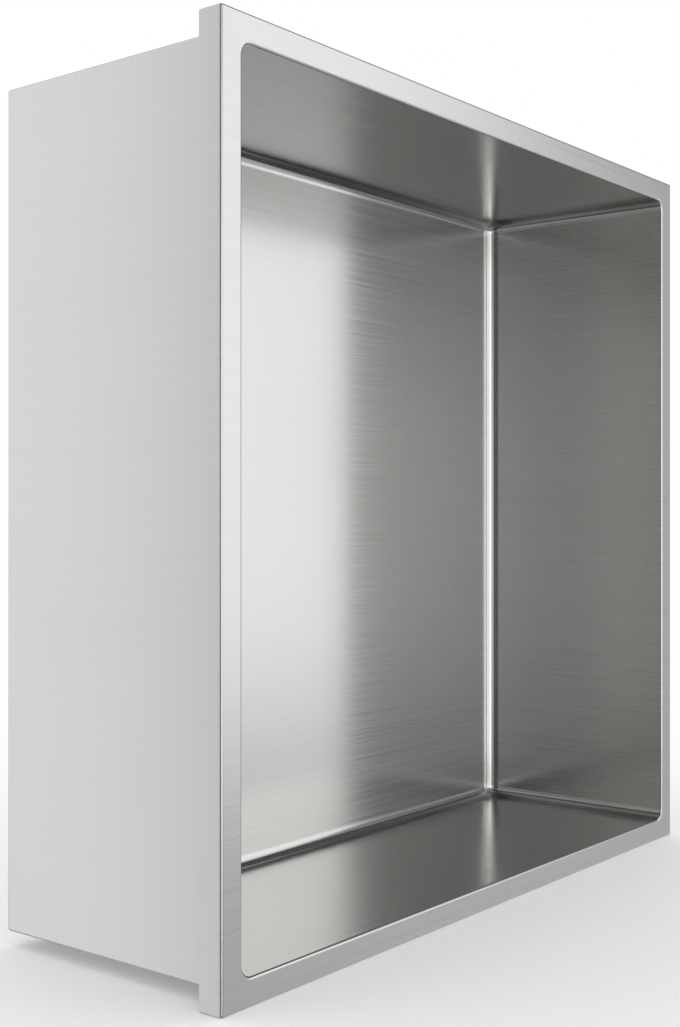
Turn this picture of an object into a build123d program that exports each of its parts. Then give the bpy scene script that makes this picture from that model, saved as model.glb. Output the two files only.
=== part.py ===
from build123d import *
import os

# Shower niche insert: a square box of folded and welded stainless sheet that is let into a wall.
# The mouth faces -Y, the depth runs along +Y and +Z is up.
# The origin is the middle of the rim's seat, on the face of the wall behind the rim.

# Clear space for bottles, at the mouth and from the rim's face to the inner back
clear_width = 305.0
clear_height = 305.0
clear_depth = 100.0
corner_radius = 5.0

# Sheet, and the inside radius of its tight folds
sheet = 0.8
fold_inside = 0.2

# Hollow between the inner tray and the outer casing
side_gap = 2.4
back_gap = 13.4

# Rim around the mouth: how far it stands out past the casing, and how far its edge turns back
rim_overhang = 6.0
rim_return = 10.0

# Sizes that follow from those above
fold_outside = fold_inside + sheet
wall = sheet + side_gap + sheet
casing_width = clear_width + 2 * wall
casing_height = clear_height + 2 * wall
rim_width = casing_width + 2 * rim_overhang
rim_height = casing_height + 2 * rim_overhang
total_depth = clear_depth + sheet + back_gap + sheet

# Planes that face the room: the rim's face, and the back of the rim's sheet
rim_face = Plane.XZ.offset(rim_return)
rim_back = Plane.XZ.offset(rim_return - sheet)


def rear_rounded_block(width, height, length, front, radius):
    """A block that runs back from the front plane, with its long edges and its rear edges rounded."""
    with BuildPart() as block:
        with BuildSketch(front):
            Rectangle(width, height)
        extrude(amount=-length)
        long_edges = block.edges().filter_by(Axis.Y)
        rear_edges = block.edges().group_by(Axis.Y)[-1]
        fillet(long_edges + rear_edges, radius)
    return block.part


def front_rounded_block(width, height, length, front, radius):
    """A block that runs back from the front plane, with its long edges and its front edges rounded."""
    with BuildPart() as block:
        with BuildSketch(front):
            Rectangle(width, height)
        extrude(amount=-length)
        long_edges = block.edges().filter_by(Axis.Y)
        front_edges = block.edges().group_by(Axis.Y)[0]
        fillet(long_edges + front_edges, radius)
    return block.part


# Forms that the two skins are cut from
rim_outside = front_rounded_block(rim_width, rim_height, rim_return, rim_face, fold_outside)
rim_inside = front_rounded_block(
    rim_width - 2 * sheet, rim_height - 2 * sheet, rim_return - sheet, rim_back, fold_inside
)
casing_outside = rear_rounded_block(
    casing_width, casing_height, total_depth - sheet, rim_back, fold_outside
)
casing_inside = rear_rounded_block(
    casing_width - 2 * sheet, casing_height - 2 * sheet, total_depth - 2 * sheet, rim_back, fold_inside
)
tray_outside = rear_rounded_block(
    clear_width + 2 * sheet, clear_height + 2 * sheet, clear_depth, rim_back, corner_radius + sheet
)
clear_space = rear_rounded_block(clear_width, clear_height, clear_depth, rim_face, corner_radius)

# Hollow that the welded seams close off, between the back of the tray and the inside of the casing
with BuildPart() as hollow:
    add(casing_inside)
    add(tray_outside, mode=Mode.SUBTRACT)

# The insert: folded rim, outer casing and inner tray in one welded piece
with BuildPart() as niche_insert:
    add(rim_outside)
    add(rim_inside, mode=Mode.SUBTRACT)
    add(casing_outside)
    add(clear_space, mode=Mode.SUBTRACT)
    # The mouth's edge, where the rim's face folds into the tray
    room_side = niche_insert.faces().filter_by(Axis.Y).group_by(Axis.Y)[0].face()
    fillet(room_side.inner_wires()[0].edges(), fold_outside)
    add(hollow.part, mode=Mode.SUBTRACT)

niche_insert.part.label = "niche_insert"
export_step(niche_insert.part, "parts/niche_insert.step")
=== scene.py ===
"""Looks of the shower niche insert: folded and welded brushed stainless sheet, in a plain white studio."""

import logging
import math
from collections.abc import Sequence
from dataclasses import dataclass
from enum import Enum, IntEnum
from typing import Any

import bpy
import numpy as np
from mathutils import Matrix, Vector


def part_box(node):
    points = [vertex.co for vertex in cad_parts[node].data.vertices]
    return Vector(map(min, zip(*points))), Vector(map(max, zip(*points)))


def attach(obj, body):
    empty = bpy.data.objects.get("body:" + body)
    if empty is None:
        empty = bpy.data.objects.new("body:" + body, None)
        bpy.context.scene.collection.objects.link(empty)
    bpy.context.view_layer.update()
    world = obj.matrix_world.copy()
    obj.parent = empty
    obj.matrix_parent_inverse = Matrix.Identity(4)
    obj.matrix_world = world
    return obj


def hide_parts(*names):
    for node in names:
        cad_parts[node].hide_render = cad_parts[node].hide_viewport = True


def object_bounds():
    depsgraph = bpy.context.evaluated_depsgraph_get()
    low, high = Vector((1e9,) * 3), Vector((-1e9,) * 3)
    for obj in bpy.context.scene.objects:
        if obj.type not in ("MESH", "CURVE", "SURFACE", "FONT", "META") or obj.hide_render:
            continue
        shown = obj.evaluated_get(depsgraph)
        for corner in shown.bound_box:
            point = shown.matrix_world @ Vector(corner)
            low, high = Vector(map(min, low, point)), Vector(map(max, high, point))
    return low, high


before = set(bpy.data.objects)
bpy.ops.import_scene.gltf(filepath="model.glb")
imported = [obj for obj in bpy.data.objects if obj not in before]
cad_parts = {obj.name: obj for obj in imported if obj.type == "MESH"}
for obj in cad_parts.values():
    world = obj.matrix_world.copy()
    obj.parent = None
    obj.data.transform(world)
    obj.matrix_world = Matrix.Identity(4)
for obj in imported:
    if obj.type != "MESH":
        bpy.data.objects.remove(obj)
cad_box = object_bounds()

log = logging.getLogger("niche_insert")

BODY = "root"
WHITE = (1.0, 1.0, 1.0, 1.0)
QUARTER_TURN = math.pi / 2
QUARTERS = 4
NOISE_MIDDLE = 0.5


class ShaderValue:
    """A number that changes over a surface. Arithmetic on it adds Math nodes to its graph."""

    def __init__(self, graph: "ShaderGraph", socket: bpy.types.NodeSocket) -> None:
        """Keeps the graph and the output socket that carries the number."""
        self.graph = graph
        self.socket = socket

    def __add__(self, other: Any) -> "ShaderValue":
        """Sum of this value and another."""
        return self.graph.math("ADD", self, other)

    def __radd__(self, other: Any) -> "ShaderValue":
        """Sum of a number and this value."""
        return self.graph.math("ADD", other, self)

    def __sub__(self, other: Any) -> "ShaderValue":
        """This value less another."""
        return self.graph.math("SUBTRACT", self, other)

    def __rsub__(self, other: Any) -> "ShaderValue":
        """A number less this value."""
        return self.graph.math("SUBTRACT", other, self)

    def __mul__(self, other: Any) -> "ShaderValue":
        """Product of this value and another."""
        return self.graph.math("MULTIPLY", self, other)

    def __rmul__(self, other: Any) -> "ShaderValue":
        """Product of a number and this value."""
        return self.graph.math("MULTIPLY", other, self)

    def __truediv__(self, other: Any) -> "ShaderValue":
        """This value over another."""
        return self.graph.math("DIVIDE", self, other)

    def __rtruediv__(self, other: Any) -> "ShaderValue":
        """A number over this value."""
        return self.graph.math("DIVIDE", other, self)

    def __abs__(self) -> "ShaderValue":
        """Size of this value without its sign."""
        return self.graph.math("ABSOLUTE", self)


class ShaderGraph:
    """The node tree of a material or of the world, emptied and then filled node by node."""

    def __init__(self, owner: bpy.types.ID) -> None:
        """Turns on the owner's nodes and empties its tree.

        Args:
            owner: the material or the world.
        """
        owner.use_nodes = True
        self.tree = owner.node_tree
        self.tree.nodes.clear()

    def add(
        self, kind: str, settings: dict[str, Any] | None = None, sockets: dict[Any, Any] | None = None
    ) -> bpy.types.Node:
        """Adds a node, sets its options, then fills or links its inputs.

        Args:
            kind: Blender's type name of the node.
            settings: the node's own options, by name.
            sockets: for each input, by name or number, a constant, an output socket or a shader value.

        Returns:
            The new node.
        """
        node = self.tree.nodes.new(kind)
        for name, option in (settings or {}).items():
            setattr(node, name, option)
        for name, filling in (sockets or {}).items():
            source = filling.socket if isinstance(filling, ShaderValue) else filling
            if isinstance(source, bpy.types.NodeSocket):
                self.tree.links.new(source, node.inputs[name])
            else:
                node.inputs[name].default_value = source
        return node

    def value(self, node: bpy.types.Node, output: str | int = 0) -> ShaderValue:
        """One output of a node as a shader value."""
        return ShaderValue(self, node.outputs[output])

    def math(self, operation: str, *numbers: Any) -> ShaderValue:
        """Adds a Math node.

        Args:
            operation: Blender's name for the operation.
            numbers: its one or two inputs, each a number or a shader value.

        Returns:
            The node's result.
        """
        return self.value(self.add("ShaderNodeMath", {"operation": operation}, dict(enumerate(numbers))))

    def falling(self, distance: ShaderValue, reach: float, softness: float) -> ShaderValue:
        """A mask that is 1 inside a reach and falls smoothly to 0 outside it.

        Args:
            distance: how far the point is from the middle.
            reach: distance at which the mask is one half.
            softness: half the width of the fall.

        Returns:
            The mask.
        """
        node = self.add(
            "ShaderNodeMapRange",
            {"interpolation_type": "SMOOTHSTEP"},
            {
                "Value": distance,
                "From Min": reach - softness,
                "From Max": reach + softness,
                "To Min": 1.0,
                "To Max": 0.0,
            },
        )
        return self.value(node, "Result")


class MixColour:
    """Numbers of the Mix node's colour sockets, which share their names with other sockets."""

    FACTOR = 0
    FIRST = 6
    SECOND = 7
    RESULT = 2


@dataclass(frozen=True)
class Grain:
    """One layer of brush marks: noise drawn out along the sheet, with its sizes in metres."""

    length: float
    width: float
    detail: float
    sharpness: float

    def draw(self, graph: ShaderGraph, sheet_map: bpy.types.NodeSocket) -> ShaderValue:
        """Adds the layer to a material.

        Args:
            graph: the material's graph.
            sheet_map: the sheet's map, in metres along and across the grain.

        Returns:
            The noise, from about -0.5 to 0.5.
        """
        scale = (1.0 / self.length, 1.0 / self.width, 1.0)
        stretched = graph.add("ShaderNodeMapping", None, {"Vector": sheet_map, "Scale": scale})
        noise = graph.add(
            "ShaderNodeTexNoise",
            {"noise_dimensions": "2D"},
            {
                "Vector": stretched.outputs["Vector"],
                "Scale": 1.0,
                "Detail": self.detail,
                "Roughness": self.sharpness,
            },
        )
        return graph.value(noise) - NOISE_MIDDLE


@dataclass(frozen=True)
class BrushedStainless:
    """Satin stainless sheet, brushed along its length, with a finish that is even but not flat."""

    name: str = "brushed_stainless"
    sheet_map: str = "sheet"
    light_tone: tuple[float, float, float] = (0.716, 0.727, 0.709)
    deep_tone: tuple[float, float, float] = (0.649, 0.659, 0.642)
    roughness: float = 0.20
    stretch: float = 0.25
    stretch_turn: float = 0.25
    hairlines: Grain = Grain(0.150, 0.0007, 2.0, 0.6)
    strokes: Grain = Grain(0.500, 0.0030, 3.0, 0.55)
    clouds: Grain = Grain(0.120, 0.090, 2.0, 0.5)
    middle_tone: float = 0.5
    tone_of_hairlines: float = 0.9
    tone_of_strokes: float = 0.7
    gloss_of_hairlines: float = 0.14
    gloss_of_strokes: float = 0.06
    gloss_of_clouds: float = 0.04
    mark_depth: float = 0.000012
    mark_strength: float = 0.40

    def build(self) -> bpy.types.Material:
        """Makes the material.

        Hairlines and broader strokes run along the sheet's map. They shift the tone between two greys, the
        roughness around its middle and the height of the surface. Clouds shift the roughness slowly.

        Returns:
            The material.
        """
        material = bpy.data.materials.new(self.name)
        graph = ShaderGraph(material)
        sheet_map = graph.add("ShaderNodeUVMap", {"uv_map": self.sheet_map}).outputs["UV"]
        hairlines = self.hairlines.draw(graph, sheet_map)
        strokes = self.strokes.draw(graph, sheet_map)
        clouds = self.clouds.draw(graph, sheet_map)
        tone = self.middle_tone + hairlines * self.tone_of_hairlines + strokes * self.tone_of_strokes
        colour = graph.add(
            "ShaderNodeMix",
            {"data_type": "RGBA", "clamp_factor": True},
            {
                MixColour.FACTOR: tone,
                MixColour.FIRST: (*self.deep_tone, 1.0),
                MixColour.SECOND: (*self.light_tone, 1.0),
            },
        )
        gloss = (
            self.roughness
            + hairlines * self.gloss_of_hairlines
            + strokes * self.gloss_of_strokes
            + clouds * self.gloss_of_clouds
        )
        marks = graph.add(
            "ShaderNodeBump",
            None,
            {"Strength": self.mark_strength, "Distance": self.mark_depth, "Height": hairlines + strokes},
        )
        shader = graph.add(
            "ShaderNodeBsdfPrincipled",
            None,
            {
                "Base Color": colour.outputs[MixColour.RESULT],
                "Metallic": 1.0,
                "Roughness": gloss,
                "Anisotropic": self.stretch,
                "Anisotropic Rotation": self.stretch_turn,
                "Normal": marks.outputs["Normal"],
            },
        )
        graph.add("ShaderNodeOutputMaterial", None, {"Surface": shader.outputs["BSDF"]})
        return material


@dataclass(frozen=True)
class PaleFloor:
    """Matt pale floor, with just enough glow to meet the white behind it without a line."""

    name: str = "pale_floor"
    colour: tuple[float, float, float] = (0.90, 0.90, 0.90)
    glow: float = 0.10

    def build(self) -> bpy.types.Material:
        """Makes the material.

        Returns:
            The material.
        """
        material = bpy.data.materials.new(self.name)
        graph = ShaderGraph(material)
        shader = graph.add(
            "ShaderNodeBsdfPrincipled",
            None,
            {
                "Base Color": (*self.colour, 1.0),
                "Roughness": 1.0,
                "Specular IOR Level": 0.0,
                "Emission Color": WHITE,
                "Emission Strength": self.glow,
            },
        )
        graph.add("ShaderNodeOutputMaterial", None, {"Surface": shader.outputs["BSDF"]})
        return material


@dataclass(frozen=True)
class TentPanel:
    """A soft-edged panel of the light tent: a dark cloth or a lit window.

    Bearings are in degrees from straight out of the mouth, towards +X.
    Heights are in degrees above the horizon.
    """

    bearing: float
    half_width: float
    side_softness: float
    height: float
    half_height: float
    level_softness: float
    level: float

    def over(
        self, graph: ShaderGraph, light: Any, bearing: ShaderValue, height: ShaderValue
    ) -> ShaderValue:
        """Lays the panel over the light that is there.

        Args:
            graph: the tent's graph.
            light: the light so far.
            bearing: bearing of the point, in degrees.
            height: height of the point, in degrees.

        Returns:
            The light with the panel over it.
        """
        across = graph.falling(abs(bearing - self.bearing), self.half_width, self.side_softness)
        upright = graph.falling(abs(height - self.height), self.half_height, self.level_softness)
        return light + (self.level - light) * (across * upright)


@dataclass(frozen=True)
class TentCloth:
    """Cloth of the light tent: white behind the object, dark in front of it, with soft lit windows."""

    name: str = "tent_cloth"
    white: float = 1.0
    panels: tuple[TentPanel, ...] = (
        # Grey behind the object, low and then high, each in a right and a left half
        TentPanel(160.0, 30.0, 10.0, -34.0, 26.0, 18.0, 0.45),
        TentPanel(-166.0, 18.0, 4.0, -34.0, 26.0, 18.0, 0.45),
        TentPanel(160.0, 30.0, 10.0, 66.0, 24.0, 20.0, 0.56),
        TentPanel(-166.0, 18.0, 4.0, 66.0, 24.0, 20.0, 0.56),
        # Dark cloth in front, at every height
        TentPanel(-9.5, 117.5, 13.0, 0.0, 120.0, 10.0, 0.008),
        # Dim cloth in front, steeply below and steeply above
        TentPanel(0.0, 120.0, 20.0, -90.0, 34.0, 10.0, 0.09),
        TentPanel(0.0, 120.0, 20.0, 90.0, 34.0, 10.0, 0.09),
        # Straight below and straight above, all the way round
        TentPanel(0.0, 400.0, 10.0, -90.0, 18.0, 9.0, 0.40),
        TentPanel(0.0, 400.0, 10.0, 90.0, 16.0, 9.0, 0.66),
        # Below and above the mouth, for the inside as seen from above or below
        TentPanel(0.0, 33.0, 6.0, -60.0, 28.0, 18.0, 0.34),
        TentPanel(0.0, 33.0, 6.0, 60.0, 28.0, 18.0, 0.34),
        # Light at the left, for the fold at the rim's left edge
        TentPanel(-99.0, 11.0, 7.0, 0.0, 45.0, 10.0, 1.1),
        # At the right: a dim panel, a low light for the casing's side, and grey for the rim's face
        TentPanel(86.0, 11.0, 6.0, 0.0, 44.0, 5.0, 0.30),
        TentPanel(88.0, 20.0, 8.0, -32.0, 14.0, 13.0, 0.85),
        TentPanel(53.5, 16.0, 3.0, 0.0, 44.0, 5.0, 0.53),
        # At the left: a band for the light lines in the bends, and the dark gap in it
        TentPanel(-44.5, 19.5, 3.0, 0.0, 38.0, 4.0, 0.53),
        TentPanel(-44.5, 19.5, 3.0, 0.0, 19.5, 5.0, 0.07),
        # Windows: the fill at the left, the key light, the middle, and a bright slot for the inner corner
        TentPanel(-28.0, 31.5, 6.0, 0.0, 10.5, 5.0, 0.70),
        TentPanel(40.0, 18.0, 5.0, 17.2, 27.5, 6.0, 1.18),
        TentPanel(-4.0, 19.0, 6.0, 0.0, 21.0, 6.0, 1.15),
        TentPanel(-20.5, 6.5, 5.0, 0.0, 21.0, 6.0, 2.3),
    )

    def build(self) -> bpy.types.Material:
        """Makes the material. Its light depends on the direction from the middle of the niche.

        Returns:
            The material.
        """
        material = bpy.data.materials.new(self.name)
        graph = ShaderGraph(material)
        place = graph.add("ShaderNodeTexCoord").outputs["Object"]
        parts = graph.add("ShaderNodeSeparateXYZ", None, {"Vector": place})
        measured = graph.add("ShaderNodeVectorMath", {"operation": "LENGTH"}, {0: place})
        length = graph.value(measured, "Value")
        right, back, up = (graph.value(parts, axis) for axis in "XYZ")
        bearing = graph.math("DEGREES", graph.math("ARCTAN2", right, 0.0 - back))
        height = graph.math("DEGREES", graph.math("ARCSINE", up / length))
        light: Any = self.white
        for panel in self.panels:
            light = panel.over(graph, light, bearing, height)
        glow = graph.add("ShaderNodeEmission", None, {"Color": light, "Strength": 1.0})
        graph.add("ShaderNodeOutputMaterial", None, {"Surface": glow.outputs["Emission"]})
        material.cycles.emission_sampling = "NONE"
        return material


class SheetSide(Enum):
    """Which side of a bend shows: the one away from its centre, or the hollow one towards it."""

    CROWN = 1.0
    HOLLOW = -1.0


class Toward(IntEnum):
    """Directions in the sheet's section, in degrees.

    Out and in are away from the mouth's middle and towards it.
    Rear and front are into the wall and out of it.
    """

    OUT = 0
    REAR = 90
    IN = 180
    FRONT = 270
    OUT_AGAIN = 360


@dataclass(frozen=True)
class Bend:
    """A bend in the sheet's section, as a part of a circle.

    The section lies across a wall. Its first coordinate runs out from the clear mouth, its second along
    the depth. A point is the centre plus the radius times (cosine, sine) of an angle between start and end.
    """

    out: float
    depth: float
    radius: float
    start: Toward
    end: Toward
    side: SheetSide
    square_at: float
    steps: int

    def stations(self) -> np.ndarray:
        """Works out the bend's points.

        Returns:
            One row for each point: out, depth, the normal's two parts, and the plan's corner radius there,
            which is the distance out from where the plan is square.
        """
        turn = np.radians(np.linspace(self.start, self.end, self.steps + 1))
        across, along = np.cos(turn), np.sin(turn)
        out = self.out + self.radius * across
        depth = self.depth + self.radius * along
        facing = self.side.value
        return np.stack([out, depth, facing * across, facing * along, out - self.square_at], axis=1)


@dataclass(frozen=True)
class Patch:
    """A grid of sheet: points, the way they face, cells of four corners and where those lie in the map."""

    points: np.ndarray
    normals: np.ndarray
    cells: np.ndarray
    sheet_map: np.ndarray

    @staticmethod
    def joined(patches: Sequence["Patch"]) -> "Patch":
        """All patches as one, with the cells of each counted on from the points before it.

        Args:
            patches: the patches, in order.

        Returns:
            The joined patch.
        """
        counts = np.cumsum([0] + [len(patch.points) for patch in patches[:-1]])
        return Patch(
            np.concatenate([patch.points for patch in patches]),
            np.concatenate([patch.normals for patch in patches]),
            np.concatenate([patch.cells + count for patch, count in zip(patches, counts)]),
            np.concatenate([patch.sheet_map for patch in patches]),
        )

    def mesh(self, name: str, map_name: str, digits: int = 7) -> bpy.types.Mesh:
        """Welds points that coincide and makes the mesh, smooth, with the points' own normals.

        A cell whose near or far edge has shrunk to a point becomes a triangle.
        One with both gone is left out.

        Args:
            name: name of the mesh.
            map_name: name of its map.
            digits: decimals of a metre to which points are compared.

        Returns:
            The mesh.
        """
        rounded = np.round(self.points, digits)
        _, kept, welded = np.unique(rounded, axis=0, return_index=True, return_inverse=True)
        cells = welded.reshape(-1)[self.cells]
        near_gone = cells[:, 0] == cells[:, 3]
        far_gone = cells[:, 1] == cells[:, 2]
        choices = (
            (~near_gone & ~far_gone, [0, 1, 2, 3]),
            (near_gone & ~far_gone, [0, 1, 2]),
            (far_gone & ~near_gone, [0, 1, 3]),
        )
        faces = [face for chosen, corners in choices for face in cells[chosen][:, corners].tolist()]
        corner_map = np.concatenate(
            [self.sheet_map[chosen][:, corners].reshape(-1, 2) for chosen, corners in choices]
        )
        mesh = bpy.data.meshes.new(name)
        mesh.from_pydata(self.points[kept].tolist(), [], faces)
        mesh.uv_layers.new(name=map_name).data.foreach_set("uv", corner_map.ravel())
        mesh.polygons.foreach_set("use_smooth", np.ones(len(faces), bool))
        mesh.normals_split_custom_set_from_vertices(self.normals[kept].tolist())
        mesh.update()
        return mesh


def grid_cells(rows: int, columns: int, closed: bool) -> np.ndarray:
    """Numbers of the corners of each cell of a grid of points that is counted row by row.

    Args:
        rows: points along the first parameter.
        columns: points along the second parameter.
        closed: whether the last column joins the first.

    Returns:
        One row of four numbers for each cell.
    """
    index = np.arange(rows * columns).reshape(rows, columns)
    ahead = np.roll(index, -1, axis=1)
    cells = np.stack([index[:-1], index[1:], ahead[1:], ahead[:-1]], axis=-1)
    return (cells if closed else cells[:, :-1]).reshape(-1, 4)


def at_corners(field: np.ndarray) -> np.ndarray:
    """Values of a field at the four corners of each cell of a closed grid.

    Args:
        field: values at the grid's points.

    Returns:
        The values, with the corners along the last axis.
    """
    ahead = np.roll(field, -1, axis=1)
    return np.stack([field[:-1], field[1:], ahead[1:], ahead[:-1]], axis=-1)


@dataclass
class NicheInsert:
    """The insert: a folded rim, an inner tray with rounded corners and a square casing, in one sheet."""

    node: str = "niche_insert"
    slot: str = "brushed_stainless"
    piece_name: str = "niche_insert_sheet"
    rim_face_width: float = 0.010
    wall: float = 0.004
    clear_depth: float = 0.100
    corner_radius: float = 0.005
    sheet: float = 0.0008
    fold_inside: float = 0.0002
    cut_edge: float = 0.00015
    weld_radius: float = 0.0003
    side_steps: int = 6
    corner_steps: int = 12
    bend_steps: int = 16
    fold_steps: int = 8
    edge_steps: int = 4
    grain_axis: float = 100.0

    def __post_init__(self) -> None:
        """Reads the outer sizes from the CAD node's box."""
        low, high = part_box(self.node)
        self.half_width = high.x - self.rim_face_width
        self.half_height = high.z - self.rim_face_width
        self.front = low.y
        self.rear = high.y
        self.fold = self.fold_inside + self.sheet

    def section(self) -> np.ndarray:
        """Lays out the section of the wall, from the inner back over the mouth and rim to the outer back.

        Straight runs are the spans between one bend and the next.

        Returns:
            The stations of all bends, in order.
        """
        radius, fold, edge, weld = self.corner_radius, self.fold, self.cut_edge, self.weld_radius
        inside = self.fold_inside
        rim = self.rim_face_width
        lip = rim - self.sheet
        tray_square = -radius
        rim_square = rim - fold
        casing_square = self.wall - fold
        inner_back = self.front + self.clear_depth
        rim_back = self.front + self.sheet
        crown, hollow = SheetSide
        out, rear, inward, front, out_again = Toward
        wide, tight, fine = self.bend_steps, self.fold_steps, self.edge_steps
        bends = (
            Bend(tray_square, inner_back - radius, radius, rear, out, hollow, tray_square, wide),
            Bend(fold, self.front + fold, fold, inward, front, crown, tray_square, tight),
            Bend(rim_square, self.front + fold, fold, front, out_again, crown, rim_square, tight),
            Bend(rim - edge, -edge, edge, out, rear, crown, rim_square, fine),
            Bend(lip + edge, -edge, edge, rear, inward, crown, rim_square, fine),
            Bend(rim_square, rim_back + inside, inside, out_again, front, hollow, rim_square, fine),
            Bend(self.wall + weld, rim_back + weld, weld, front, inward, hollow, casing_square, fine),
            Bend(casing_square, self.rear - fold, fold, out, rear, crown, casing_square, tight),
        )
        return np.concatenate([bend.stations() for bend in bends])

    def plan(self) -> np.ndarray:
        """Lays out one turn around the mouth.

        A rounded rectangle is a square-cornered one plus a circle. Each row holds the place on the square,
        as fractions of its half width and half height, and the direction on the circle. One quarter of the
        turn is worked out, and carried round by quarter turns.

        Returns:
            One row for each point: the two fractions, then the direction's cosine and sine.
        """
        turn = np.linspace(0.0, QUARTER_TURN, self.corner_steps + 1)
        along = np.linspace(1.0, -1.0, self.side_steps + 1)[1:-1]
        place = np.concatenate([np.ones_like(turn), along])
        angle = np.concatenate([turn, np.full_like(along, QUARTER_TURN)])
        quarter = np.stack([place, np.ones_like(place), np.cos(angle), np.sin(angle)], axis=1)
        quarter_turn = np.array([[0.0, 1.0], [-1.0, 0.0]])
        both_turned = np.kron(np.eye(2), quarter_turn)
        turns = [np.linalg.matrix_power(both_turned, count) for count in range(QUARTERS)]
        return np.concatenate([quarter @ turned for turned in turns])

    def wall_patch(self, section: np.ndarray, plan: np.ndarray, run: np.ndarray) -> Patch:
        """Carries the section around the plan.

        A point's place across is its fraction times the half size of the square, plus the corner radius
        times the direction. The map unrolls the sheet: on the left and right walls it counts the section's
        run sideways and the height upwards, on the others the width sideways and the run upwards, so the
        grain stays level.

        Args:
            section: the section's stations.
            plan: the plan's points.
            run: length of the section up to each station.

        Returns:
            The wall.
        """
        out, depth, normal_out, normal_depth, radius = (column[:, None] for column in section.T)
        place_x, place_z, cosine, sine = (column[None, :] for column in plan.T)
        x = place_x * (self.half_width + out - radius) + radius * cosine
        z = place_z * (self.half_height + out - radius) + radius * sine
        y = np.broadcast_to(depth, x.shape)
        facing = np.broadcast_arrays(normal_out * cosine, normal_depth, normal_out * sine)
        normals = np.stack(facing, axis=-1)
        middle = plan[:, 2:] + np.roll(plan[:, 2:], -1, axis=0)
        upright = (np.abs(middle[:, 0]) > np.abs(middle[:, 1]))[None, :, None, None]
        sign_x, sign_z = np.sign(middle).T[:, None, :, None]
        runs = at_corners(np.broadcast_to(run[:, None], x.shape))
        start_x = self.half_width - self.corner_radius
        start_z = self.half_height - self.corner_radius
        sideways = np.stack([sign_x * (start_x + runs), at_corners(z)], axis=-1)
        upwards = np.stack([at_corners(x), sign_z * (start_z + runs)], axis=-1)
        return Patch(
            np.stack([x, y, z], axis=-1).reshape(-1, 3),
            normals.reshape(-1, 3),
            grid_cells(*x.shape, closed=True),
            np.where(upright, sideways, upwards).reshape(-1, 4, 2),
        )

    def panel_patch(self, station: np.ndarray, run: float) -> Patch:
        """Closes one end of the wall with a flat panel.

        A point is a fraction from -1 to 1 of the half width and of the half height. The map of the panel
        carries on sideways from the run of the wall.

        Args:
            station: the section's station at the panel's edge.
            run: length of the section up to it, or 0 at the inner back.

        Returns:
            The panel.
        """
        half_x = self.half_width + station[0]
        half_z = self.half_height + station[0]
        facing = station[3]
        fraction = np.linspace(-1.0, 1.0, self.side_steps + 1)
        x, z = np.meshgrid(fraction * half_x, fraction * half_z, indexing="ij")
        points = np.stack([x, np.full_like(x, station[1]), z], axis=-1).reshape(-1, 3)
        normals = np.broadcast_to([0.0, facing, 0.0], points.shape)
        cells = grid_cells(*x.shape, closed=False)
        if facing > 0.0:
            cells = cells[:, ::-1]
        flat = points[cells][..., [0, 2]]
        if run > 0.0:
            far_edge = self.half_width - self.corner_radius + run + half_x
            flat = np.stack([far_edge - flat[..., 0], flat[..., 1]], axis=-1)
        return Patch(points, normals, cells, flat)

    def build(self, finish: BrushedStainless) -> bpy.types.Object:
        """Makes the insert, dresses it and puts it in the place of its CAD node.

        The texture space is set far out in front, so that the gloss stretches across the grain everywhere.

        Args:
            finish: the sheet's finish.

        Returns:
            The finished piece.
        """
        section, plan = self.section(), self.plan()
        steps = np.hypot(*np.diff(section[:, :2], axis=0).T)
        run = np.concatenate([[0.0], np.cumsum(steps)])
        whole = Patch.joined(
            [
                self.wall_patch(section, plan, run),
                self.panel_patch(section[0], run[0]),
                self.panel_patch(section[-1], run[-1]),
            ]
        )
        mesh = whole.mesh(self.piece_name, finish.sheet_map)
        mesh.use_auto_texspace = False
        mesh.texspace_location = (0.0, -self.grain_axis, 0.0)
        mesh.texspace_size = (1.0, 1.0, 1.0)
        mesh.materials.append(finish.build())
        piece = bpy.data.objects.new(self.piece_name, mesh)
        bpy.context.scene.collection.objects.link(piece)
        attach(piece, BODY)
        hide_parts(self.node)
        return piece


@dataclass(frozen=True)
class PhotoCamera:
    """The camera, fitted to the edges of the photograph, which is taken to be 680 by 1027.

    The focal length and the image's shifts aside and up are in pixels, the turn is in degrees.
    """

    image_height: float = 1027.0
    focal: float = 1417.00
    aside: float = -17.26
    rise: float = -5.53
    turn: float = 52.008
    place: tuple[float, float, float] = (-0.49212, -0.32254, 0.00088)
    sensor: float = 36.0
    nearest: float = 0.01

    def build(self) -> bpy.types.Object:
        """Makes the camera and hands it to the scene.

        Returns:
            The camera.
        """
        lens = bpy.data.cameras.new("photo_camera")
        lens.sensor_fit = "VERTICAL"
        lens.sensor_height = self.sensor
        lens.lens = self.focal / self.image_height * self.sensor
        lens.shift_x = self.aside / self.image_height
        lens.shift_y = self.rise / self.image_height
        lens.clip_start = self.nearest
        camera = bpy.data.objects.new("photo_camera", lens)
        camera.location = self.place
        camera.rotation_euler = (QUARTER_TURN, 0.0, -math.radians(self.turn))
        bpy.context.scene.collection.objects.link(camera)
        bpy.context.scene.camera = camera
        return camera


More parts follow.
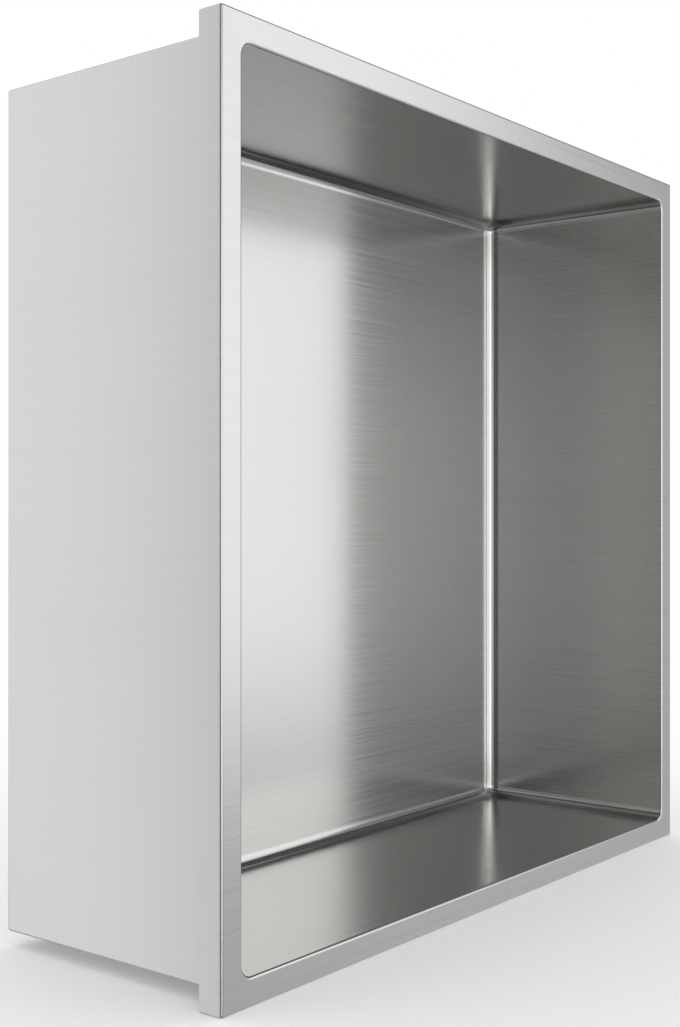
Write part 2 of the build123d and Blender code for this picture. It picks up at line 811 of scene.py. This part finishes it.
@dataclass
class Studio:
    """The studio: white all round, a pale floor, and a light tent that only the metal mirrors."""

    white: float = 1.0
    floor_reach: float = 40.0
    tent_radius: float = 8.0
    turns: int = 48
    rises: int = 16

    def __post_init__(self) -> None:
        """Takes the floor's height from the CAD box."""
        self.ground = cad_box[0].z

    def build(self) -> list[bpy.types.Object]:
        """Makes the world, the floor and the tent.

        Returns:
            The stage's objects.
        """
        world = bpy.data.worlds.new("white_studio")
        graph = ShaderGraph(world)
        sky = graph.add("ShaderNodeBackground", None, {"Color": WHITE, "Strength": self.white})
        graph.add("ShaderNodeOutputWorld", None, {"Surface": sky.outputs["Background"]})
        bpy.context.scene.world = world
        return [self.floor(PaleFloor().build()), self.tent(TentCloth().build())]

    def bearings(self) -> np.ndarray:
        """One turn around the upright axis, in radians, as a row."""
        return np.linspace(0.0, math.tau, self.turns + 1)[None, :]

    def floor(self, finish: bpy.types.Material) -> bpy.types.Object:
        """Lays the floor: a round disc, as a radius carried around the upright axis.

        Args:
            finish: the floor's material.

        Returns:
            The floor.
        """
        bearing = self.bearings()
        radius = np.linspace(0.0, 1.0, self.rises + 1)[:, None] ** 2 * self.floor_reach
        x, y = radius * np.sin(bearing), radius * np.cos(bearing)
        piece = self.stage("studio_floor", (x, y, np.full_like(x, self.ground)), finish)
        piece.visible_glossy = False
        return piece

    def tent(self, finish: bpy.types.Material) -> bpy.types.Object:
        """Hangs the tent: half a circle from under the floor to the top, carried around the upright axis.

        Args:
            finish: the tent's cloth.

        Returns:
            The tent.
        """
        bearing = self.bearings()
        rise = np.linspace(-QUARTER_TURN, QUARTER_TURN, self.turns // 2 + 1)[:, None]
        x = self.tent_radius * np.cos(rise) * np.sin(bearing)
        y = self.tent_radius * np.cos(rise) * np.cos(bearing)
        z = np.broadcast_to(self.tent_radius * np.sin(rise), x.shape)
        return self.mirrored_only(self.stage("light_tent", (x, y, z), finish))

    def stage(
        self, name: str, surface: tuple[np.ndarray, np.ndarray, np.ndarray], finish: bpy.types.Material
    ) -> bpy.types.Object:
        """Makes a piece of the stage.

        Args:
            name: name of the piece.
            surface: its points on a grid, as one array for each coordinate.
            finish: its material.

        Returns:
            The piece.
        """
        points = np.stack(surface, axis=-1)
        cells = grid_cells(*points.shape[:2], closed=False)
        mesh = bpy.data.meshes.new(name)
        mesh.from_pydata(points.reshape(-1, 3).tolist(), [], cells.tolist())
        mesh.materials.append(finish)
        piece = bpy.data.objects.new(name, mesh)
        bpy.context.scene.collection.objects.link(piece)
        return piece

    def mirrored_only(self, piece: bpy.types.Object) -> bpy.types.Object:
        """Leaves a piece of the stage to be seen in the metal alone.

        Args:
            piece: the piece.

        Returns:
            The same piece.
        """
        piece.visible_camera = False
        piece.visible_diffuse = False
        piece.visible_transmission = False
        piece.visible_volume_scatter = False
        piece.visible_shadow = False
        return piece


def main() -> None:
    """Builds the camera, the studio and the insert, in that order."""
    logging.basicConfig(level=logging.INFO, format="%(name)s: %(message)s")
    bpy.context.scene.view_settings.view_transform = "Standard"
    camera = PhotoCamera().build()
    log.info("%s: lens %.1f mm", camera.name, camera.data.lens)
    for staged in Studio().build():
        log.info("%s: stage, %d faces", staged.name, len(staged.data.polygons))
    insert = NicheInsert().build(BrushedStainless())
    log.info("%s: %d faces, replaces %s", insert.name, len(insert.data.polygons), NicheInsert.node)


if __name__ == "__main__":
    main()
